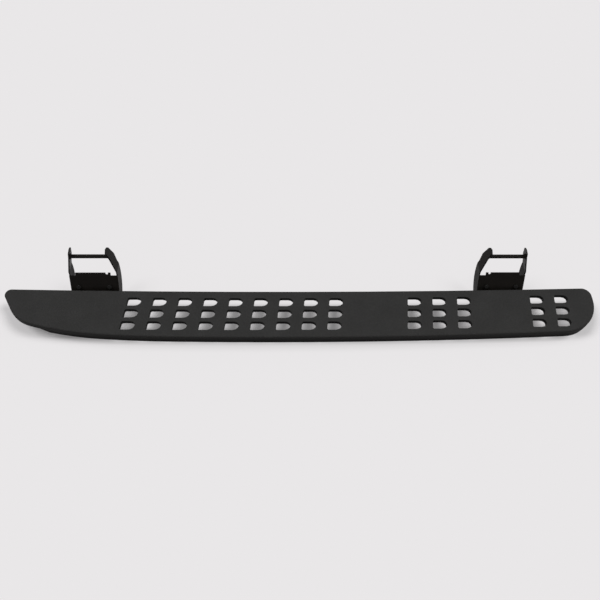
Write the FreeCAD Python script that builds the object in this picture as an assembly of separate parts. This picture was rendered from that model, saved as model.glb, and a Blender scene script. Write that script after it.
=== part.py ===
import FreeCAD
import Part

import math
import os

# Perforated side step for the sill of a pickup: a cast alloy board on two pressed steel brackets.
# X runs along the board, +Y points inboard to the vehicle, +Z is up, and it stands on its feet.
# While it is drawn, Y is measured from the back edge at mid length, and the last step moves the
# origin to the middle of the footprint. Millimetres and degrees.

# Board outline
board_length = 1792.0
board_width = 160.0         # at mid length
back_bow = 11.0             # the back edge's ends stand this far inboard of its middle
front_crown = 21.0          # the same for the front edge
back_right_radius = 28.0
right_flat = 8.0            # between the right end's two corner radii
back_left_radius = 18.0
nose_radius = 105.0
end_lean = 31.0             # of the swept left end, from square
sweep_start = 496.0         # from the left tip to where the front edge leaves its crown
sweep_knee = 296.0          # from the left tip to the tighter part of the sweep
knee_rise = 14.0            # the sweep's set-back from the front edge at its knee
nose_rise = 63.4            # the same at the nose

# Board section
tread_height = 62.0
skin = 5.0
skirt_depth = 16.0
skirt_wall = 5.0
edge_radius = 6.0
lip_depth = 30.0
lip_wall = 6.0
lip_left_inset = 122.0      # from the left tip to the end of the lip
lip_right_inset = 40.0
lip_runout = 26.0           # length over which the lip fades into the skirt
lip_back = 60.0             # the lip stops this far in front of the back edge

# Drain holes
hole_length = 42.5
hole_height = 28.0
hole_nose = 17.0            # length of the rounded end
nose_flats = 6              # the rounded end is cast as this many flats
hole_corner = 3.0
hole_pitch = 76.0
row_pitch = 40.6
row_skew = 4.7              # each row stands this far to the left of the one behind it
back_margin = 39.2          # from the back edge to the first row's centre line
front_margin = 39.5
collar_wall = 3.0
collar_depth = 13.0         # below the tread surface
middle_columns = 3
right_columns = 2
right_margin = 101.0        # from the right end to the last column
right_gap = 227.0           # between the last two groups, over the right bracket
middle_gap = 239.0          # between the first two groups
left_margin = 386.0         # at least this much plain tread at the left end

# Cross ribs under the tread
rib_wall = 4.0
rib_depth = 15.0

# Brackets
left_inset = 263.6          # from the board's left end to the left bracket's middle
right_inset = 279.0
sheet = 4.0
half_span = 72.5            # middle to the outside of an arm
seat_drop = 22.0            # from the tread down to the top of the foot
foot_setback = 42.0         # the foot stops this far behind the board's front edge
foot_toe = 8.0              # slope at the front end of the foot's flanges
panel_lean = 33.5           # of the panel, back from upright
panel_gap = 14.0            # from the board's back edge to the panel, level with the tread
bend_radius = 12.0          # from foot to panel, on the board's side
fold_flat = 3.5             # from panel to arm, on the outside
shoulder_rise = 33.5        # up the panel from the tread's level
panel_rise = 43.0
panel_half = 52.0           # half width of the panel above its shoulders
relief = 6.0                # set-back of the arms above the panel's shoulders
notch_offset = 41.0         # from the bracket's middle to the locating notch in the panel's top
notch_radius = 4.0
notch_depth = 2.0           # from the panel's top to the notch's centre

# Arms, from the board's back edge and above the tread
taper_rise = 36.0           # the arms lean in from here up
arm_lean = 13.3
bar_back = 63.0
bar_rise = 86.5
bar_radius = 6.0
throat_back = 55.0
throat_rise = 90.0
brow_back = 55.0
brow_rise = 109.0
crest_back = 69.0
crest_rise = 112.5
tip_back = 82.5
tip_rise = 106.4
tip_radius = 8.0
neck_back = 87.0
neck_rise = 70.0
heel_back = 77.0
heel_radius = 107.5

# Fasteners
bolt_diameter = 8.0
thread_gap = 0.2            # on the diameter, between a thread and its hole
bolt_clearance = 2.5        # on the diameter, between a bolt and a plain hole
hex_across = 13.0
head_height = 5.5
pad_width = 26.0            # of the board's threaded pads
pad_back = 36.0             # from the back edge to a rear pad's middle
pad_front = 20.0            # from the front end of the foot to a front pad's middle
pad_engagement = 13.0
pad_blind = 1.5             # hole left past the end of the bolt
panel_bolt_spread = 46.0
panel_bolt_rise = -2.5      # up the panel from the tread's level
panel_bolt_reach = 25.0     # thread past the panel, for the vehicle's own nut

# Derived places
half_length = board_length / 2
back_arc_radius = (half_length**2 + back_bow**2) / (2 * back_bow)
crown_radius = (half_length**2 + front_crown**2) / (2 * front_crown)
front_right_radius = board_width - front_crown + back_bow - back_right_radius - right_flat
skirt_bottom = tread_height - skirt_depth
lip_bottom = tread_height - lip_depth
skin_under = tread_height - skin
foot_top = tread_height - seat_drop
foot_length = board_width - foot_setback
taper_z = tread_height + taper_rise
head_top = tread_height + crest_rise
head_half = half_span - (head_top - taper_z) * math.tan(math.radians(arm_lean))
bar_z = tread_height + bar_rise
bracket_places = (left_inset - half_length, half_length - right_inset)
lean_sine = math.sin(math.radians(panel_lean))
lean_cosine = math.cos(math.radians(panel_lean))
hole_slant = row_skew / row_pitch
clear_hole = (bolt_diameter + bolt_clearance) / 2
thread_hole = (bolt_diameter + thread_gap) / 2
pad_rows = (-pad_back, pad_front - foot_length)
margin = 1.0                # how far cutting and trimming shapes reach past what they cut
touch = 0.001               # how near an edge passes to a point that picks it


def vec(x, y, z=0.0):
    """Short name for a point."""
    return FreeCAD.Vector(x, y, z)


def rise(x, radius):
    """Set-back at x of a shallow arc of this radius, from its middle."""
    return radius - math.sqrt(radius**2 - x**2)


def line(start, end):
    """Straight edge."""
    return Part.LineSegment(start, end).toShape()


def arc(start, middle, end):
    """Circular edge through three points."""
    return Part.Arc(start, middle, end).toShape()


def tangent_arc(start, heading, end):
    """Arc that leaves start along heading (radians) and ends at end, with its heading there."""
    chord = end - start
    half_turn = math.atan2(chord.y, chord.x) - heading
    half_turn = math.atan2(math.sin(half_turn), math.cos(half_turn))
    reach = chord.Length / (2 * math.cos(half_turn / 2))
    to_middle = heading + half_turn / 2
    middle = start + vec(math.cos(to_middle), math.sin(to_middle)) * reach
    return arc(start, middle, end), heading + 2 * half_turn


def face(edges):
    """Flat face inside a closed run of edges."""
    return Part.Face(Part.Wire(edges))


def polygon(points):
    """Flat face inside a closed polygon."""
    return Part.Face(Part.makePolygon(points + [points[0]]))


def slab(plan, bottom, top):
    """A plan face at Z = 0 made solid between two heights."""
    solid = plan.extrude(vec(0, 0, top - bottom))
    solid.translate(vec(0, 0, bottom))
    return solid


def across(profile, half_width):
    """A face in the Y-Z plane made solid to both sides of the middle."""
    solid = profile.extrude(vec(2 * half_width, 0, 0))
    solid.translate(vec(-half_width, 0, 0))
    return solid


def through(front_view, start, end):
    """A face in the X-Z plane made solid from Y = start to Y = end."""
    solid = front_view.extrude(vec(0, end - start, 0))
    solid.translate(vec(0, start, 0))
    return solid


def at(shape, x, y, z=0.0):
    """Copy of a shape moved to a place."""
    moved = shape.copy()
    moved.translate(vec(x, y, z))
    return moved


def edges_at(solid, spots):
    """Edges of a solid that pass through any of these points."""
    marks = [Part.Vertex(spot) for spot in spots]
    return [edge for edge in solid.Edges if any(edge.distToShape(mark)[0] < touch for mark in marks)]


def level_edges(solid, z):
    """Edges of a solid that lie at one height."""
    heights = [(edge, edge.BoundBox) for edge in solid.Edges]
    return [edge for edge, box in heights if abs(box.ZMin - z) < touch and abs(box.ZMax - z) < touch]


def two_flats(radius):
    """Set-backs of the chamfers that round an edge with two flats: on the side, on top, then between."""
    side = radius * (1 - math.tan(math.pi / 12))
    top = side * math.tan(math.pi / 6)
    return side, top, side - top


# Board

def board_plan():
    """Plan outline of the board as a face at Z = 0, swept back at the left and rounded at its corners."""
    corner_angle = math.radians(90 - end_lean)
    tip_trim = back_left_radius * (1 / math.tan(corner_angle / 2) - 1)
    left_x = -half_length - tip_trim
    back_left = vec(left_x, rise(left_x, back_arc_radius))
    back_right = vec(half_length, back_bow)
    front_right = vec(half_length, front_crown - board_width)
    start_x = -half_length + sweep_start
    leave = vec(start_x, rise(start_x, crown_radius) - board_width)
    knee = vec(-half_length + sweep_knee, knee_rise - board_width)
    nose_y = nose_rise - board_width
    nose = vec(left_x + (back_left.y - nose_y) * math.tan(math.radians(end_lean)), nose_y)
    heading = math.pi - math.asin(-start_x / crown_radius)
    first_sweep, heading = tangent_arc(leave, heading, knee)
    second_sweep, heading = tangent_arc(knee, heading, nose)
    blank = face([
        arc(back_left, vec(0, 0), back_right),
        line(back_right, front_right),
        arc(front_right, vec(0, -board_width), leave),
        first_sweep,
        second_sweep,
        line(nose, back_left),
    ]).extrude(vec(0, 0, skirt_depth))
    corners = (
        (back_left, back_left_radius),
        (back_right, back_right_radius),
        (front_right, front_right_radius),
        (nose, nose_radius),
    )
    for corner, radius in corners:
        blank = blank.makeFillet(radius, edges_at(blank, [corner + vec(0, 0, skirt_depth / 2)]))
    return next(side for side in blank.Faces if side.BoundBox.ZMax < margin / 2)


def hole_plan(grow):
    """Bullet outline of a drain hole, grown by a wall, corners cut and sides slanted like a column."""
    left = -hole_length / 2 - grow
    half = hole_height / 2 + grow
    nose = hole_nose + grow
    start = hole_length / 2 - hole_nose
    turns = [math.pi * (flat / nose_flats - 0.5) for flat in range(nose_flats + 1)]
    outline = [vec(start + nose * math.cos(turn), half * math.sin(turn)) for turn in turns]
    outline += [
        vec(left + hole_corner, half),
        vec(left, half - hole_corner),
        vec(left, hole_corner - half),
        vec(left + hole_corner, -half),
    ]
    return polygon([vec(point.x + hole_slant * point.y, point.y) for point in outline])


def column_groups():
    """X of each column of holes in the first row, group by group, counted from the right end."""
    right = half_length - right_margin
    groups = []
    for count, gap in ((right_columns, right_gap), (middle_columns, middle_gap)):
        groups.insert(0, [right - place * hole_pitch for place in reversed(range(count))])
        right = groups[0][0] - gap
    room = right + half_length - left_margin
    count = int(room / hole_pitch + touch) + 1
    groups.insert(0, [right - place * hole_pitch for place in reversed(range(count))])
    return groups


def hole_places():
    """Plan centre of every drain hole."""
    room = board_width - back_margin - front_margin
    rows = int(room / row_pitch + touch) + 1
    places = []
    for row in range(rows):
        for group in column_groups():
            for column in group:
                x = column - row * row_skew
                places.append(vec(x, rise(x, back_arc_radius) - back_margin - row * row_pitch))
    return places


def front_lip(plan):
    """Wall that hangs from the skirt along the front edge and fades out at both ends."""
    ring = slab(plan, lip_bottom, skirt_bottom + margin)
    ring = ring.cut(slab(plan.makeOffset2D(-lip_wall), lip_bottom - margin, skirt_bottom + 2 * margin))
    left = -half_length + lip_left_inset
    right = half_length - lip_right_inset
    side = polygon([
        vec(left, 0, skirt_bottom + margin),
        vec(left, 0, skirt_bottom),
        vec(left + lip_runout, 0, lip_bottom),
        vec(right - lip_runout, 0, lip_bottom),
        vec(right, 0, skirt_bottom),
        vec(right, 0, skirt_bottom + margin),
    ])
    return ring.common(through(side, -board_width - margin, -lip_back))


def cross_ribs(plan):
    """Ribs from inside the back skirt to inside the front one, beside every column of holes."""
    ribs = []
    middle_row = row_skew * (board_width - back_margin - front_margin) / row_pitch / 2
    rib_bottom = tread_height - rib_depth
    between_skirts = slab(plan.makeOffset2D(-skirt_wall / 2), rib_bottom, skin_under + margin)
    for group in column_groups():
        for column in [group[0] - hole_pitch] + group:
            corner = vec(column + (hole_pitch - rib_wall) / 2 - middle_row, -board_width, rib_bottom)
            rib = Part.makeBox(rib_wall, board_width + back_bow, rib_depth, corner)
            ribs.append(rib.common(between_skirts))
    return ribs


def pad_places():
    """Plan centre of every threaded pad, a rear and a front one to a bracket."""
    return [vec(x, rise(x, back_arc_radius) + y) for x in bracket_places for y in pad_rows]


def step_board():
    """Cast tray: skin, skirt and lip, with collared holes, cross ribs and threaded pads."""
    plan = board_plan()
    on_side, on_top, between = two_flats(edge_radius)
    tray = slab(plan, skirt_bottom, tread_height)
    tray = tray.makeChamfer(on_side, on_top, level_edges(tray, tread_height))
    tray = tray.makeChamfer(between, level_edges(tray, tread_height))
    tray = tray.cut(slab(plan.makeOffset2D(-skirt_wall), skirt_bottom - margin, skin_under))
    collar = slab(hole_plan(collar_wall), tread_height - collar_depth, skin_under + margin)
    pad_corner = vec(-pad_width / 2, -pad_width / 2, foot_top)
    pad = Part.makeBox(pad_width, pad_width, skin_under + margin - foot_top, pad_corner)
    added = [front_lip(plan)] + cross_ribs(plan)
    added += [at(collar, place.x, place.y) for place in hole_places()]
    added += [at(pad, place.x, place.y) for place in pad_places()]
    board = tray.fuse(added)
    hole = slab(hole_plan(0), tread_height - collar_depth - margin, tread_height + margin)
    thread_depth = pad_engagement + pad_blind
    thread = Part.makeCylinder(thread_hole, thread_depth + margin, vec(0, 0, foot_top - margin))
    cuts = [at(hole, place.x, place.y) for place in hole_places()]
    cuts += [at(thread, place.x, place.y) for place in pad_places()]
    return board.cut(cuts).removeSplitter()


# Bracket, drawn about its own middle with Y from the board's back edge

def front_outline(inset):
    """Front view of the channel from the floor to the head, moved in by a wall."""
    low = half_span - inset
    high = head_half - inset
    return polygon([
        vec(-low, 0, -margin),
        vec(low, 0, -margin),
        vec(low, 0, taper_z),
        vec(high, 0, head_top),
        vec(-high, 0, head_top),
        vec(-low, 0, taper_z),
    ])


def panel_point(up, depth):
    """Point up the panel from the tread's level, and a depth inboard of its face."""
    y = panel_gap + up * lean_sine + depth * lean_cosine
    return vec(0, y, tread_height + up * lean_cosine - depth * lean_sine)


def on_panel(shape):
    """Copy of a shape drawn on an upright panel at Y = 0, Z = 0, laid on the leaning panel."""
    laid = shape.copy()
    laid.rotate(vec(0, 0), vec(1, 0), -panel_lean)
    laid.translate(panel_point(0, 0))
    return laid


def inside_run(depth, up):
    """Edges of the channel's inner line, at a depth below its face, from the toe up the panel."""
    bend_up = (bend_radius * (1 - lean_sine) - seat_drop) / lean_cosine
    centre = panel_point(bend_up, -bend_radius)
    turn = math.radians(90 + panel_lean) / 2
    radius = bend_radius + depth
    toe = vec(0, -foot_length, foot_top - depth)
    low = centre + vec(0, 0, -radius)
    middle = centre + vec(0, math.cos(turn), -math.sin(turn)) * radius
    high = panel_point(bend_up, depth)
    return [line(toe, low), arc(low, middle, high), line(high, panel_point(up, depth))]


def above_tread(back, up):
    """Point of an arm's side view, from the board's back edge and above the tread."""
    return vec(0, back, tread_height + up)


def arm_profile():
    """Side view of an arm: foot flange, round heel, riser and the head round the bar."""
    heel = vec(0, heel_back - heel_radius, heel_radius)
    diagonal = heel_radius * math.sqrt(0.5)
    heel_low = heel + vec(0, 0, -heel_radius)
    heel_high = heel + vec(0, heel_radius, 0)
    tip = above_tread(tip_back, tip_rise)
    toe = vec(0, foot_toe - foot_length, 0)
    inner = inside_run(0, shoulder_rise)
    corners = [
        panel_point(shoulder_rise, 0),
        panel_point(shoulder_rise, relief),
        above_tread(throat_back, throat_rise),
        above_tread(brow_back, brow_rise),
        above_tread(crest_back, crest_rise),
        tip,
        above_tread(neck_back, neck_rise),
        heel_high,
    ]
    outside = [line(start, end) for start, end in zip(corners, corners[1:])]
    return face(inner + outside + [
        arc(heel_high, heel + vec(0, diagonal, -diagonal), heel_low),
        line(heel_low, toe),
        line(toe, vec(0, -foot_length, foot_top)),
    ]), tip


def web_strip():
    """The sheet between the arms: foot, bend and panel in side view."""
    outer = inside_run(0, panel_rise)
    inner = inside_run(sheet, panel_rise)
    ends = [
        line(vec(0, -foot_length, foot_top), vec(0, -foot_length, foot_top - sheet)),
        line(panel_point(panel_rise, 0), panel_point(panel_rise, sheet)),
    ]
    return across(face(Part.sortEdges(outer + inner + ends)[0]), half_span)


def panel_cut(front_view):
    """A front view on the upright panel made into a cut through the leaning one."""
    return on_panel(through(front_view, -margin, sheet + margin))


def panel_pin(radius, x, z):
    """Round cut through the panel."""
    pin = Part.makeCylinder(radius, sheet + 2 * margin, vec(x, -margin, z), vec(0, 1, 0))
    return on_panel(pin)


def panel_cuts(inner):
    """Cuts for the panel's shoulders and bolts, and for the notch on its inner side."""
    cuts = []
    top = panel_rise + margin
    for side in (-1, 1):
        near = side * panel_half
        far = side * (half_span + margin)
        low = shoulder_rise
        corners = [vec(near, 0, low), vec(far, 0, low), vec(far, 0, top), vec(near, 0, top)]
        cuts.append(panel_cut(polygon(corners)))
        cuts.append(panel_pin(clear_hole, side * panel_bolt_spread, panel_bolt_rise))
    x = inner * notch_offset
    z = panel_rise - notch_depth
    sides = [vec(x - notch_radius, 0, z), vec(x + notch_radius, 0, z)]
    mouth = [vec(x + notch_radius, 0, top), vec(x - notch_radius, 0, top)]
    return cuts + [panel_pin(notch_radius, x, z), panel_cut(polygon(sides + mouth))]


def rod_across(radius, y, z):
    """Round rod along X that reaches past both arms."""
    reach = half_span + margin
    return Part.makeCylinder(radius, 2 * reach, vec(-reach, y, z), vec(1, 0, 0))


def fold_spots():
    """A point on each edge that runs along the two folds."""
    spots = []
    for edge in inside_run(0, shoulder_rise):
        spot = edge.valueAt((edge.FirstParameter + edge.LastParameter) / 2)
        spots += [spot + vec(half_span, 0), spot - vec(half_span, 0)]
    return spots


def bracket(inner):
    """Pressed channel: the web under and behind the board, and the two arms folded from it."""
    profile, tip = arm_profile()
    arms = across(profile, half_span + margin)
    arms = arms.makeFillet(tip_radius, edges_at(arms, [tip]))
    walls = front_outline(0).cut(front_outline(sheet))
    arms = arms.common(through(walls, -foot_length - margin, neck_back + margin))
    channel = arms.fuse(web_strip().cut(panel_cuts(inner))).removeSplitter()
    channel = channel.makeChamfer(fold_flat, edges_at(channel, fold_spots()))
    foot_hole = Part.makeCylinder(clear_hole, sheet + 2 * margin, vec(0, 0, foot_top - sheet - margin))
    return channel.cut([at(foot_hole, 0, y) for y in pad_rows])


def cross_bar():
    """Round bar between the arms' heads, its ends cut to their lean."""
    reach = bar_radius + margin
    between_arms = through(front_outline(sheet), bar_back - reach, bar_back + reach)
    return rod_across(bar_radius, bar_back, bar_z).common(between_arms)


# Fasteners, drawn with their seat at Z = 0 and their shank along +Z

def hexagon(bottom, top):
    """Hexagonal prism."""
    corner = hex_across / 2 / math.cos(math.pi / 6)
    turns = [turn * math.pi / 3 for turn in range(6)]
    points = [vec(corner * math.cos(turn), corner * math.sin(turn)) for turn in turns]
    return slab(polygon(points), bottom, top)


def hex_bolt(shank):
    """Hex bolt with its head below the seat."""
    return Part.makeCylinder(bolt_diameter / 2, shank).fuse(hexagon(-head_height, 0))


def panel_bolts():
    """Bolts through the panel from the board's side, pointing inboard."""
    bolt = hex_bolt(sheet + panel_bolt_reach)
    bolt.rotate(vec(0, 0), vec(1, 0), -90)
    places = (-panel_bolt_spread, panel_bolt_spread)
    return Part.makeCompound([on_panel(at(bolt, x, 0, panel_bolt_rise)) for x in places])


def foot_bolts():
    """Bolts from below, through the foot into the board's pads."""
    bolt = hex_bolt(sheet + pad_engagement)
    return Part.makeCompound([at(bolt, 0, y, foot_top - sheet) for y in pad_rows])


def bracket_set(inner):
    """One bracket with everything that is fastened to it, by node name without its side."""
    return {
        "bracket": bracket(inner),
        "cross_bar": cross_bar(),
        "foot_bolts": foot_bolts(),
        "panel_bolts": panel_bolts(),
    }


def assembly():
    """Every node by name, with the origin on the floor at the middle of the footprint."""
    nodes = {"step_board": step_board()}
    for side, x, inner in (("left_", bracket_places[0], 1), ("right_", bracket_places[1], -1)):
        for name, shape in bracket_set(inner).items():
            nodes[side + name] = at(shape, x, rise(x, back_arc_radius))
    box = Part.makeCompound(list(nodes.values())).optimalBoundingBox(False, False)
    return {name: at(shape, -box.Center.x, -box.Center.y) for name, shape in nodes.items()}


os.makedirs("parts", exist_ok=True)
for node, solid in assembly().items():
    solid.exportStep("parts/" + node + ".step")
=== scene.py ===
import math

import bpy
import numpy as np
from bpy.props import FloatProperty, FloatVectorProperty, IntProperty, PointerProperty
from bpy.types import Operator, Panel, PropertyGroup
from mathutils import Matrix, Vector


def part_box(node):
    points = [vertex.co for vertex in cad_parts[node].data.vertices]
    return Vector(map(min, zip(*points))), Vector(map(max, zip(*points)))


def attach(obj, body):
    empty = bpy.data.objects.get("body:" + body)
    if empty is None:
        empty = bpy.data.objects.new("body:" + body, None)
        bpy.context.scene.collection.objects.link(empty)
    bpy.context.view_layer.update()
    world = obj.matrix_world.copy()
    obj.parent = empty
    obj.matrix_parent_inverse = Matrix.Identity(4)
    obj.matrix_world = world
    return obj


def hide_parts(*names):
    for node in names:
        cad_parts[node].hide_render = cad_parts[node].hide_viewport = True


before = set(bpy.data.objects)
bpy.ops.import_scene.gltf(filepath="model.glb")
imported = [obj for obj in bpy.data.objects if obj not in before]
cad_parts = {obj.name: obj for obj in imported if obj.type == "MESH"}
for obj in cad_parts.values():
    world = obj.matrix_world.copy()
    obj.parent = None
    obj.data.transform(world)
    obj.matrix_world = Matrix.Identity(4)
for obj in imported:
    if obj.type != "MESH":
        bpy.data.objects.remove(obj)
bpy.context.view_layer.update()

bl_info = {
    "name": "Side step",
    "version": (1, 0, 0),
    "blender": (4, 5, 0),
    "location": "3D View > Sidebar > Side step",
    "description": "Dresses a perforated side step and its brackets, bolts and welds",
    "category": "Object",
}

BODY = "root"
SIDES = ("left", "right")
TREAD_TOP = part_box("step_board")[1][2]
BAR_LOW, BAR_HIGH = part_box("left_cross_bar")
BAR_RADIUS = (BAR_HIGH[2] - BAR_LOW[2]) / 2
FOOT_LOW, FOOT_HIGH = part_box("left_foot_bolts")
HEX_TURN = math.pi / 3
HEX_ACROSS = (FOOT_HIGH[0] - FOOT_LOW[0]) * math.cos(HEX_TURN / 2)

# Fineness of the bolts and welds
BOLT_SIDES = 48
RINGS_PER_PITCH = 8
CROWN_ANGLE = math.radians(30)
WELD_STATIONS = 96
WELD_SIDES = 16

# Colour sockets of a Mix node, and the middle of a Noise node's values
MIX_LOW = 6
MIX_HIGH = 7
MIX_COLOUR = 2
CLOUD_MIDDLE = 0.5

# Patterns in the board's coat
GRAIN_DETAIL = 3.0
GRAINS_PER_PATCH = 30
RUB_START = 0.42
RUB_GAIN = 3.2
PATCH_RUB = 0.8
PATCH_ROUGHNESS = 0.12
GRAIN_BUMP = 0.8

# Patterns in the brackets' coat, sizes in metres
PEEL_SIZE = 0.003
PEEL_HEIGHT = 0.0002
PEEL_BUMP = 0.3
DULL_SIZE = 0.045
DULL_DETAIL = 4.0
DULL_START = 0.45
DULL_GAIN = 2.5
DULL_ROUGHNESS = 0.18

# Patterns in the bolts' plating, sizes in metres
ZINC_CLOUD_SIZE = 0.004
ZINC_PALE = 1.6
ZINC_ROUGHNESS = 0.2
ZINC_METALLIC = 0.3


class BoardCoat(PropertyGroup):
    """Textured powder coat of the board, with painted shade darkening its sides towards the lip's lower
    edge.
    """

    tread: FloatVectorProperty(
        name="Tread", description="Colour of the textured top", subtype="COLOR",
        default=(0.0285, 0.0282, 0.0278), min=0, max=1)
    worn: FloatVectorProperty(
        name="Worn tread", description="Colour where the grain's tips are rubbed", subtype="COLOR",
        default=(0.0445, 0.044, 0.0435), min=0, max=1)
    side: FloatVectorProperty(
        name="Side", description="Colour of the smooth sides just below the tread", subtype="COLOR",
        default=(0.025, 0.0244, 0.0239), min=0, max=1)
    # Painted shade: the sides darken to this colour at the lip's lower edge
    under: FloatVectorProperty(
        name="Under", description="Colour of the lip's lower edge", subtype="COLOR",
        default=(0.0028, 0.0027, 0.0026), min=0, max=1)
    # Painted shade: how far down the sides the darkening reaches
    under_shade_depth: FloatProperty(
        name="Under depth", description="How far below the tread the sides reach that colour",
        default=0.025, unit="LENGTH")
    tread_roughness: FloatProperty(
        name="Tread roughness", description="Roughness of the textured top", default=0.68, min=0, max=1)
    side_roughness: FloatProperty(
        name="Side roughness", description="Roughness of the smooth sides", default=0.5, min=0, max=1)
    gloss: FloatProperty(
        name="Gloss", description="Specular level of the coat", default=0.015, min=0, max=1)
    grain: FloatProperty(
        name="Grain", description="Size of the texture's bumps", default=0.0022, unit="LENGTH")
    relief: FloatProperty(
        name="Relief", description="Height of the texture's bumps", default=0.0005, unit="LENGTH")
    texture_depth: FloatProperty(
        name="Texture depth", description="The texture fades out this far below the tread",
        default=0.003, unit="LENGTH")


class BracketCoat(PropertyGroup):
    """Satin black coat of the brackets and bars, and their welds."""

    satin: FloatVectorProperty(
        name="Satin", description="Colour of the coat", subtype="COLOR",
        default=(0.0075, 0.0064, 0.0056), min=0, max=1)
    dust: FloatVectorProperty(
        name="Dust", description="Colour of the dull patches", subtype="COLOR",
        default=(0.0125, 0.0107, 0.0092), min=0, max=1)
    roughness: FloatProperty(
        name="Roughness", description="Roughness of the clean coat", default=0.4, min=0, max=1)
    gloss: FloatProperty(
        name="Gloss", description="Specular level of the coat", default=0.05, min=0, max=1)
    arm_lean: FloatProperty(
        name="Arm lean", description="How far the arms lean in from upright", subtype="ANGLE",
        default=math.radians(13.3))
    bead: FloatProperty(
        name="Weld bead", description="Radius of the weld round a bar's end",
        default=0.0026, unit="LENGTH")
    ripple: FloatProperty(
        name="Weld ripple", description="Part of the bead's radius that its ripples take",
        default=0.14, min=0, max=0.5)
    ripples: IntProperty(name="Ripples", description="Ripples round one weld", default=17, min=1)


class BoltFinish(PropertyGroup):
    """Black zinc bolts."""

    zinc: FloatVectorProperty(
        name="Zinc", description="Colour of the plating", subtype="COLOR",
        default=(0.009, 0.0085, 0.0082), min=0, max=1)
    roughness: FloatProperty(
        name="Roughness", description="Roughness of the plating", default=0.45, min=0, max=1)
    gloss: FloatProperty(
        name="Gloss", description="Specular level of the plating", default=0.07, min=0, max=1)
    panel_lean: FloatProperty(
        name="Panel lean", description="How far the panel bolts point down from level", subtype="ANGLE",
        default=math.radians(33.5))
    shank_radius: FloatProperty(
        name="Shank radius", description="Outside radius of the thread", default=0.004, unit="LENGTH")
    head_height: FloatProperty(
        name="Head height", description="Height of the hexagon head", default=0.0055, unit="LENGTH")
    crown: FloatProperty(
        name="Crown", description="Height of the chamfer on top of the head",
        default=0.0009, unit="LENGTH")
    pitch: FloatProperty(
        name="Pitch", description="Distance between turns of the thread",
        default=0.00125, unit="LENGTH")
    thread_depth: FloatProperty(
        name="Thread depth", description="From crest to root of the thread",
        default=0.0007, unit="LENGTH")


class StageLook(PropertyGroup):
    """Floor, light and camera."""

    floor: FloatVectorProperty(
        name="Floor", description="Colour of the floor and background", subtype="COLOR",
        default=(0.815, 0.799, 0.807), min=0, max=1)
    paper_glow: FloatProperty(
        name="Paper glow", description="Part of the floor under the board that takes no shadow",
        default=0.21, min=0, max=1)
    open_glow: FloatProperty(
        name="Open glow", description="Part of the floor away from the board that takes no shadow",
        default=0.82, min=0, max=1)
    shade_line: FloatProperty(
        name="Shade line", description="Place of the shade's middle line, front to back",
        default=-0.0475, unit="LENGTH")
    shade_bow: FloatProperty(
        name="Shade bow", description="How far back the shade's middle line bends one metre along",
        default=0.0137, unit="LENGTH")
    shade_half: FloatProperty(
        name="Shade half", description="Half the width of the full shade",
        default=0.0485, unit="LENGTH")
    shade_fade: FloatProperty(
        name="Shade fade", description="Width over which the shade fades out",
        default=0.025, unit="LENGTH")
    ambient: FloatProperty(
        name="Ambient", description="Light from all round", default=0.25, min=0)
    key: FloatProperty(
        name="Key lights", description="Strength of each of the two soft lights", default=1.385, min=0)
    key_angle: FloatProperty(
        name="Key size", description="How wide a soft light looks from the floor", subtype="ANGLE",
        default=math.radians(24))
    key_lean: FloatProperty(
        name="Key lean", description="How far the soft lights stand behind upright", subtype="ANGLE",
        default=math.radians(5))
    key_spread: FloatProperty(
        name="Key spread", description="How far a soft light stands to its side of upright",
        subtype="ANGLE", default=math.radians(31))
    target: FloatVectorProperty(
        name="Target", description="Point at the middle of the picture", subtype="XYZ", unit="LENGTH",
        default=(-0.0095, 0.002, 0.062))
    distance: FloatProperty(
        name="Distance", description="From the camera to the target", default=1.817, unit="LENGTH")
    azimuth: FloatProperty(
        name="Azimuth", description="Turn of the view to the right of straight on", subtype="ANGLE",
        default=math.radians(3.95))
    elevation: FloatProperty(
        name="Elevation", description="Height of the camera above level", subtype="ANGLE",
        default=math.radians(58.62))
    roll: FloatProperty(
        name="Roll", description="Tilt of the camera about its line of sight", subtype="ANGLE",
        default=math.radians(3.235))
    lens: FloatProperty(name="Lens", description="Focal length in millimetres", default=36.0, min=1)
    sensor: FloatProperty(name="Sensor", description="Sensor width in millimetres", default=36.0, min=1)
    floor_reach: FloatProperty(
        name="Floor reach", description="Half the floor's width", default=30.0, unit="LENGTH")


class Wire:
    """A socket of a node tree: arithmetic on it adds Math nodes, and node() adds any other node."""

    def __init__(self, tree, socket=None):
        self.tree = tree
        self.socket = socket

    def node(self, kind, settings=None, sockets=None, out=0):
        """Add a node, set it up, feed its sockets by name or number and return one of its outputs."""
        made = self.tree.nodes.new(kind)
        for name, value in (settings or {}).items():
            setattr(made, name, value)
        for key, value in (sockets or {}).items():
            if isinstance(value, Wire):
                self.tree.links.new(value.socket, made.inputs[key])
            else:
                made.inputs[key].default_value = value
        return Wire(self.tree, made.outputs[out] if made.outputs else None)

    def math(self, operation, first, second):
        """One Math node on two values."""
        return self.node("ShaderNodeMath", {"operation": operation}, {0: first, 1: second})

    def __add__(self, other):
        return self.math("ADD", self, other)

    def __sub__(self, other):
        return self.math("SUBTRACT", self, other)

    def __rsub__(self, other):
        return self.math("SUBTRACT", other, self)

    def __mul__(self, other):
        return self.math("MULTIPLY", self, other)

    def __truediv__(self, other):
        return self.math("DIVIDE", self, other)

    def __rtruediv__(self, other):
        return self.math("DIVIDE", other, self)

    def __abs__(self):
        return self.math("ABSOLUTE", self, 0.0)

    __radd__ = __add__
    __rmul__ = __mul__

    def clamp(self):
        """The value kept between 0 and 1."""
        return self.node("ShaderNodeClamp", sockets={"Value": self})

    def blend(self, low, high):
        """Colour that goes from low to high as this value goes from 0 to 1."""
        ends = {0: self, MIX_LOW: low, MIX_HIGH: high}
        return self.node("ShaderNodeMix", {"data_type": "RGBA"}, ends, out=MIX_COLOUR)


def new_material(name):
    """Empty node material and a wire to build it with."""
    material = bpy.data.materials.new(name)
    material.use_nodes = True
    material.node_tree.nodes.clear()
    return material, Wire(material.node_tree)


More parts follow.
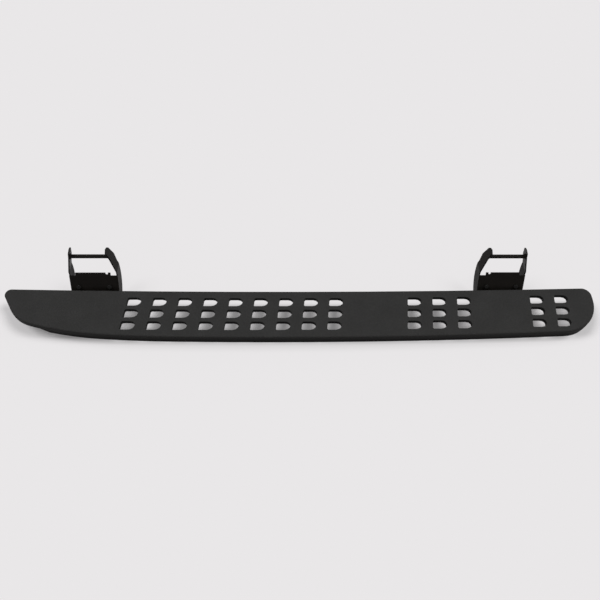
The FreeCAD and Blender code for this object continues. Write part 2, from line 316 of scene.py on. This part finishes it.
def finish_surface(wire, sockets):
    """Principled shader with these sockets, joined to the material's output."""
    shader = wire.node("ShaderNodeBsdfPrincipled", sockets=sockets)
    wire.node("ShaderNodeOutputMaterial", sockets={"Surface": shader})


def opaque(colour):
    """Colour with full alpha, as a socket takes it."""
    return (*colour, 1.0)


def shown_rays(wire):
    """1 for rays that show the background, straight, mirrored or through glass, and 0 for the rest."""
    seen = wire.node("ShaderNodeLightPath", out="Is Camera Ray")
    mirrored = wire.node("ShaderNodeLightPath", out="Is Glossy Ray")
    through = wire.node("ShaderNodeLightPath", out="Is Transmission Ray")
    return (seen + mirrored + through).clamp()


def noise(wire, coords, size, detail=2.0):
    """Cloudy value about 0.5 with features of this size in metres."""
    sockets = {"Vector": coords, "Scale": 1.0 / size, "Detail": detail}
    return wire.node("ShaderNodeTexNoise", sockets=sockets)


def dress(obj, material):
    """Give an object one material on all its faces."""
    obj.data.materials.clear()
    obj.data.materials.append(material)
    obj.data.polygons.foreach_set("material_index", np.zeros(len(obj.data.polygons), dtype=np.int32))


def solid_piece(name, vertices, faces, material):
    """Mesh object in the row frame that moves with the step."""
    mesh = bpy.data.meshes.new(name)
    mesh.from_pydata(vertices.tolist(), [], faces)
    mesh.polygons.foreach_set("use_smooth", np.zeros(len(mesh.polygons), dtype=bool))
    piece = bpy.data.objects.new(name, mesh)
    bpy.context.scene.collection.objects.link(piece)
    dress(piece, material)
    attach(piece, BODY)
    return piece


def ring_faces(rings, around, start):
    """Quads between neighbouring rings of points, each ring closed on itself."""
    ring, place = np.meshgrid(np.arange(rings - 1), np.arange(around), indexing="ij")
    after = (place + 1) % around
    corners = [ring * around + place, ring * around + after,
               (ring + 1) * around + after, (ring + 1) * around + place]
    return (start + np.stack(corners, axis=-1).reshape(-1, 4)).tolist()


def board_coat(look):
    """Grainy coat on the tread that turns smooth down the sides and darker towards their foot with
    painted shade.

    The grain fades out in a straight line over the texture's depth below the tread, and the colour of
    the sides goes in a straight line from side to under over the under shade depth, as painted shade.
    """
    material, wire = new_material("board_coat")
    coords = wire.node("ShaderNodeTexCoord", out="Object")
    height = wire.node("ShaderNodeSeparateXYZ", sockets={"Vector": coords}, out="Z")
    on_top = ((height - (TREAD_TOP - look.texture_depth)) / look.texture_depth).clamp()
    grain = noise(wire, coords, look.grain, detail=GRAIN_DETAIL)
    patches = noise(wire, coords, GRAINS_PER_PATCH * look.grain) - CLOUD_MIDDLE
    rubbed = ((grain - RUB_START) * RUB_GAIN + patches * PATCH_RUB).clamp()
    tread = rubbed.blend(opaque(look.tread), opaque(look.worn))
    # Painted shade: the sides darken from the side colour to the under colour over the under shade
    # depth
    depth = ((TREAD_TOP - height) / look.under_shade_depth).clamp()
    colour = on_top.blend(depth.blend(opaque(look.side), opaque(look.under)), tread)
    roughness = look.side_roughness + on_top * (look.tread_roughness - look.side_roughness)
    bump = wire.node("ShaderNodeBump", sockets={
        "Strength": GRAIN_BUMP, "Distance": look.relief, "Height": grain * on_top})
    finish_surface(wire, {
        "Base Color": colour, "Roughness": roughness + patches * PATCH_ROUGHNESS,
        "Specular IOR Level": look.gloss, "Normal": bump})
    return material


def bracket_coat(look):
    """Satin coat with dull patches and a faint orange peel."""
    material, wire = new_material("bracket_coat")
    coords = wire.node("ShaderNodeTexCoord", out="Object")
    peel = noise(wire, coords, PEEL_SIZE)
    patches = noise(wire, coords, DULL_SIZE, detail=DULL_DETAIL)
    dull = ((patches - DULL_START) * DULL_GAIN).clamp()
    bump = wire.node("ShaderNodeBump", sockets={
        "Strength": PEEL_BUMP, "Distance": PEEL_HEIGHT, "Height": peel})
    finish_surface(wire, {
        "Base Color": dull.blend(opaque(look.satin), opaque(look.dust)),
        "Roughness": look.roughness + dull * DULL_ROUGHNESS,
        "Specular IOR Level": look.gloss, "Normal": bump})
    return material


def bolt_zinc(look):
    """Dark plating, a little cloudy."""
    material, wire = new_material("bolt_zinc")
    coords = wire.node("ShaderNodeTexCoord", out="Object")
    cloud = noise(wire, coords, ZINC_CLOUD_SIZE)
    pale = tuple(ZINC_PALE * part for part in look.zinc)
    finish_surface(wire, {
        "Base Color": cloud.blend(opaque(look.zinc), opaque(pale)),
        "Roughness": look.roughness + (cloud - CLOUD_MIDDLE) * ZINC_ROUGHNESS,
        "Metallic": ZINC_METALLIC, "Specular IOR Level": look.gloss})
    return material


def bolt_surface(look, length, threaded):
    """Rings of points of a bolt along +Z from the top of its head.

    The radius is a function of the station along the axis and the angle round it. On the head it is
    the hexagon's, half the width across flats over the cosine of the angle from the nearest flat,
    cut down near the top by a cone. On the shank it is the shank's radius less a triangle wave of the
    station over the pitch minus the turn, which winds into a thread, and it tapers over the last pitch.
    """
    turns = np.arange(BOLT_SIDES) * 2 * math.pi / BOLT_SIDES
    hexagon = HEX_ACROSS / 2 / np.cos(np.mod(turns, HEX_TURN) - HEX_TURN / 2)
    flat = HEX_ACROSS / 2 - look.crown
    crown = np.array([0.0, look.crown])
    cone = np.array([flat, flat + look.crown / math.tan(CROWN_ANGLE)])
    head_rings = np.minimum(hexagon[None, :], cone[:, None])
    head = [(crown, head_rings), (np.array([look.head_height]), hexagon[None, :])]
    shank_length = length - look.head_height
    count = int(RINGS_PER_PITCH * shank_length / look.pitch)
    stations = look.head_height + np.linspace(0, shank_length, count)
    winding = stations[:, None] / look.pitch - turns[None, :] / (2 * math.pi)
    wave = np.abs(2 * np.mod(winding, 1) - 1)
    depth = look.thread_depth if threaded else 0.0
    to_end = (length - stations) / look.pitch
    taper = np.clip(1 - to_end, 0, 1)[:, None] * look.thread_depth
    shank = (stations, look.shank_radius - depth * wave - taper)
    levels = np.concatenate([part[0] for part in (*head, shank)])
    radii = np.concatenate([part[1] for part in (*head, shank)])
    heights = np.broadcast_to(levels[:, None], radii.shape)
    grid = np.stack([radii * np.cos(turns), radii * np.sin(turns), heights], axis=-1)
    caps = np.array([[0, 0, 0], [0, 0, length]])
    return np.concatenate([grid.reshape(-1, 3), caps]), len(levels)


def bolt_faces(rings, around, start):
    """Quads along the bolt and a fan at either end, facing outwards."""
    faces = ring_faces(rings, around, start)
    place = np.arange(around)
    after = (place + 1) % around
    first_pole = np.full(around, rings * around)
    last = (rings - 1) * around
    head_fan = start + np.stack([first_pole, after, place], axis=-1)
    end_fan = start + np.stack([first_pole + 1, last + place, last + after], axis=-1)
    return faces + head_fan.tolist() + end_fan.tolist()


def bolt_set(name, node, look, material, threaded):
    """Two like bolts in place of a CAD node: inboard through a leaning panel, or up through a foot."""
    low, high = (np.array(corner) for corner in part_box(node))
    corner_radius = HEX_ACROSS / 2 / math.cos(HEX_TURN / 2)
    if threaded:
        # The flats of a head's top reach the box's front and top, and its shank's end the back
        sine = math.sin(look.panel_lean)
        cosine = math.cos(look.panel_lean)
        head_y = low[1] + HEX_ACROSS / 2 * sine
        head_z = high[2] - HEX_ACROSS / 2 * cosine
        heads = [(x, head_y, head_z) for x in (low[0] + corner_radius, high[0] - corner_radius)]
        turn = np.array([[1, 0, 0], [0, -sine, cosine], [0, -cosine, -sine]])
        length = (high[1] - look.shank_radius * sine - head_y) / cosine
    else:
        middle = (low[0] + high[0]) / 2
        heads = [(middle, y, low[2]) for y in (low[1] + HEX_ACROSS / 2, high[1] - HEX_ACROSS / 2)]
        turn = np.eye(3)
        length = high[2] - low[2]
    points, rings = bolt_surface(look, length, threaded)
    placed = np.concatenate([points @ turn.T + np.array(head) for head in heads])
    faces = []
    for place in range(len(heads)):
        faces += bolt_faces(rings, BOLT_SIDES, place * len(points))
    piece = solid_piece(name, placed, faces, material)
    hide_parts(node)


def weld_bead(look, node, end):
    """Rings of points of the weld round one end of a cross bar.

    A circle of the bead's radius is carried round the bar's own circle, in the plane of the leaning
    arm, and its radius swells and shrinks as a sine of the angle round the bar.
    """
    low, high = (np.array(corner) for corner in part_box(node))
    axis_y = (low[1] + high[1]) / 2
    axis_z = (low[2] + high[2]) / 2
    slope = math.tan(look.arm_lean)
    end_x = high[0] - BAR_RADIUS * slope if end > 0 else low[0] + BAR_RADIUS * slope
    round_bar = np.linspace(0, 2 * math.pi, WELD_STATIONS, endpoint=False)[:, None]
    round_bead = np.linspace(0, 2 * math.pi, WELD_SIDES, endpoint=False)[None, :]
    radius = look.bead * (1 + look.ripple * np.sin(look.ripples * round_bar))
    out = BAR_RADIUS + radius * np.cos(round_bead)
    rise = out * np.sin(round_bar)
    x = end_x - end * (slope * rise + radius * np.sin(round_bead))
    y = axis_y + out * np.cos(round_bar)
    return np.stack([x, y, axis_z + rise], axis=-1).reshape(-1, 3)


class STEP_OT_coat_board(Operator):
    """Powder coat the board, grainy on the tread and smooth down its sides"""

    bl_idname = "side_step.coat_board"
    bl_label = "Coat the board"

    def execute(self, context):
        dress(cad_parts["step_board"], board_coat(context.scene.board_coat))
        return {"FINISHED"}


class STEP_OT_paint_brackets(Operator):
    """Paint both brackets and their cross bars"""

    bl_idname = "side_step.paint_brackets"
    bl_label = "Paint the brackets"

    def execute(self, context):
        material = bracket_coat(context.scene.bracket_coat)
        for side in SIDES:
            dress(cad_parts[side + "_bracket"], material)
            dress(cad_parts[side + "_cross_bar"], material)
        return {"FINISHED"}


class STEP_OT_weld_bars(Operator):
    """Lay a weld round each end of the cross bars"""

    bl_idname = "side_step.weld_bars"
    bl_label = "Weld the cross bars"

    def execute(self, context):
        look = context.scene.bracket_coat
        for side in SIDES:
            node = side + "_cross_bar"
            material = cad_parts[node].data.materials[0]
            points = []
            faces = []
            for end in (-1, 1):
                bead = weld_bead(look, node, end)
                quads = np.array(ring_faces(WELD_STATIONS + 1, WELD_SIDES, 0)) % len(bead)
                if end < 0:
                    quads = quads[:, ::-1]
                faces += (quads + len(points) * len(bead)).tolist()
                points.append(bead)
            solid_piece(side + "_bar_welds", np.concatenate(points), faces, material)
        return {"FINISHED"}


class STEP_OT_fit_bolts(Operator):
    """Fit bolts with chamfered heads, threaded where their ends show"""

    bl_idname = "side_step.fit_bolts"
    bl_label = "Fit the bolts"

    def execute(self, context):
        look = context.scene.bolt_finish
        material = bolt_zinc(look)
        for side in SIDES:
            bolt_set(side + "_panel_bolt_pair", side + "_panel_bolts", look, material, threaded=True)
            bolt_set(side + "_foot_bolt_pair", side + "_foot_bolts", look, material, threaded=False)
        return {"FINISHED"}


class STEP_OT_set_stage(Operator):
    """Set the floor, the soft light and the camera"""

    bl_idname = "side_step.set_stage"
    bl_label = "Set the stage"

    def execute(self, context):
        look = context.scene.stage_look
        self.lay_floor(context.scene, look)
        self.light(context.scene, look)
        self.aim_camera(context.scene, look)
        context.scene.view_settings.view_transform = "Standard"
        return {"FINISHED"}

    def lay_floor(self, scene, look):
        """A plain square of floor at the height the feet stand on.

        Part of its look takes no shadow. That part is least in a band under the board, round a middle
        line that bends back with the square of the distance along, and grows over the fade beside it.
        """
        reach = look.floor_reach
        mesh = bpy.data.meshes.new("floor")
        corners = [(-reach, -reach, 0), (reach, -reach, 0), (reach, reach, 0), (-reach, reach, 0)]
        mesh.from_pydata(corners, [], [(0, 1, 2, 3)])
        floor = bpy.data.objects.new("floor", mesh)
        scene.collection.objects.link(floor)
        material, wire = new_material("floor_paper")
        paper = wire.node("ShaderNodeBsdfPrincipled", sockets={
            "Base Color": opaque(look.floor), "Roughness": 1.0, "Specular IOR Level": 0.0})
        glow = wire.node("ShaderNodeEmission", sockets={"Color": opaque(look.floor), "Strength": 1.0})
        coords = wire.node("ShaderNodeTexCoord", out="Object")
        along = wire.node("ShaderNodeSeparateXYZ", sockets={"Vector": coords}, out="X")
        inboard = wire.node("ShaderNodeSeparateXYZ", sockets={"Vector": coords}, out="Y")
        off_line = inboard - along * along * look.shade_bow - look.shade_line
        outside = ((abs(off_line) - look.shade_half) / look.shade_fade).clamp()
        share = look.paper_glow + outside * (look.open_glow - look.paper_glow)
        mixed = wire.node("ShaderNodeMixShader", sockets={
            0: shown_rays(wire) * share, 1: paper, 2: glow})
        wire.node("ShaderNodeOutputMaterial", sockets={"Surface": mixed})
        dress(floor, material)

    def light(self, scene, look):
        """Even light from all round, seen as the floor's colour, and a soft light at either side."""
        world = bpy.data.worlds.new("studio")
        world.use_nodes = True
        world.node_tree.nodes.clear()
        wire = Wire(world.node_tree)
        grey = (look.ambient,) * 3
        colour = shown_rays(wire).blend(opaque(grey), opaque(look.floor))
        background = wire.node("ShaderNodeBackground", sockets={"Color": colour, "Strength": 1.0})
        wire.node("ShaderNodeOutputWorld", sockets={"Surface": background})
        scene.world = world
        for side, turn in zip(SIDES, (look.key_spread, -look.key_spread)):
            lamp = bpy.data.lights.new(side + "_key", "SUN")
            lamp.energy = look.key
            lamp.angle = look.key_angle
            key = bpy.data.objects.new(side + "_key", lamp)
            key.rotation_euler = (-look.key_lean, turn, 0)
            scene.collection.objects.link(key)

    def aim_camera(self, scene, look):
        """Camera that looks at the target from its azimuth, elevation and roll."""
        level = math.cos(look.elevation)
        sight = Vector((math.sin(look.azimuth) * level, math.cos(look.azimuth) * level,
                        -math.sin(look.elevation)))
        right = sight.cross(Vector((0, 0, 1))).normalized()
        right.rotate(Matrix.Rotation(-look.roll, 3, sight))
        upward = right.cross(sight)
        axes = Matrix((right, upward, -sight)).transposed()
        camera = bpy.data.objects.new("camera", bpy.data.cameras.new("camera"))
        camera.data.lens = look.lens
        camera.data.sensor_width = look.sensor
        place = Vector(look.target) - look.distance * sight
        camera.matrix_world = Matrix.Translation(place) @ axes.to_4x4()
        scene.collection.objects.link(camera)
        scene.camera = camera


class STEP_PT_sidebar(Panel):
    """Sizes and colours of the side step"""

    bl_idname = "STEP_PT_sidebar"
    bl_label = "Side step"
    bl_space_type = "VIEW_3D"
    bl_region_type = "UI"
    bl_category = "Side step"

    def draw(self, context):
        for operator, look in STEPS:
            box = self.layout.box()
            box.operator(operator.bl_idname)
            for name in getattr(context.scene, look).__annotations__:
                box.prop(getattr(context.scene, look), name)


LOOKS = {
    "board_coat": BoardCoat,
    "bracket_coat": BracketCoat,
    "bolt_finish": BoltFinish,
    "stage_look": StageLook,
}
STEPS = (
    (STEP_OT_coat_board, "board_coat"),
    (STEP_OT_paint_brackets, "bracket_coat"),
    (STEP_OT_weld_bars, "bracket_coat"),
    (STEP_OT_fit_bolts, "bolt_finish"),
    (STEP_OT_set_stage, "stage_look"),
)


def register():
    """Add the property groups, operators and panel."""
    for name, group in LOOKS.items():
        bpy.utils.register_class(group)
        setattr(bpy.types.Scene, name, PointerProperty(type=group))
    for operator, _ in STEPS:
        bpy.utils.register_class(operator)
    bpy.utils.register_class(STEP_PT_sidebar)


def unregister():
    """Take them away again."""
    bpy.utils.unregister_class(STEP_PT_sidebar)
    for operator, _ in STEPS:
        bpy.utils.unregister_class(operator)
    for name, group in LOOKS.items():
        delattr(bpy.types.Scene, name)
        bpy.utils.unregister_class(group)


def main():
    """Dress every piece and set the stage."""
    register()
    bpy.ops.side_step.coat_board()
    bpy.ops.side_step.paint_brackets()
    bpy.ops.side_step.weld_bars()
    bpy.ops.side_step.fit_bolts()
    bpy.ops.side_step.set_stage()


if __name__ == "__main__":
    main()
